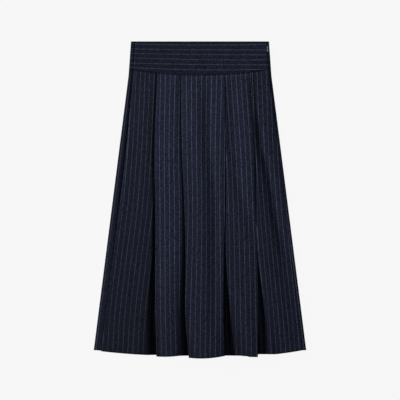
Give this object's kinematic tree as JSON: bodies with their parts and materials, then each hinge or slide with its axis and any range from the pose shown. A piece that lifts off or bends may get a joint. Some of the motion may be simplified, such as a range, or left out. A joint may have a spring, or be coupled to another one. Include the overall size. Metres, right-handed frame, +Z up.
{
  "type": "pleated skirt",
  "caption": "A-line pleated midi skirt on a wide shaped waistband, laid flat on its back, with knife pleats turned away from the middle and a concealed side zip.",
  "frame": {"origin": "on the surface that the skirt lies on, in the middle of its outline", "axes": "+Y from hem to waist, +X to the right seen from above, +Z up from the surface"},
  "size_m": [0.5308, 0.7925, 0.0258],
  "materials": {
    "suiting": "dark navy wool flannel with thin pale pinstripes, soft and matt",
    "zip_tape": "navy woven zip tape",
    "zip_metal": "dull blue-grey lacquered metal"
  },
  "bodies": {
    "skirt": {"front_gore_left_side": "suiting", "front_gore_left": "suiting", "front_gore_centre": "suiting", "front_gore_right": "suiting", "front_gore_right_side": "suiting", "back_gore_left_side": "suiting", "back_gore_left": "suiting", "back_gore_centre": "suiting", "back_gore_right": "suiting", "back_gore_right_side": "suiting", "waistband_front": "suiting", "waistband_back": "suiting", "zip_tape": "zip_tape", "zip_slider": "zip_metal"},
    "pull_tab": {"zip_pull": "zip_metal"}
  },
  "joints": [
    {"name": "pull_hinge", "type": "hinge", "parent": "skirt", "child": "pull_tab", "pos_m": [0.16919, 0.3806, 0.00848], "axis": [-1, 0, 0], "range_deg": [0, 170]}
  ]
}
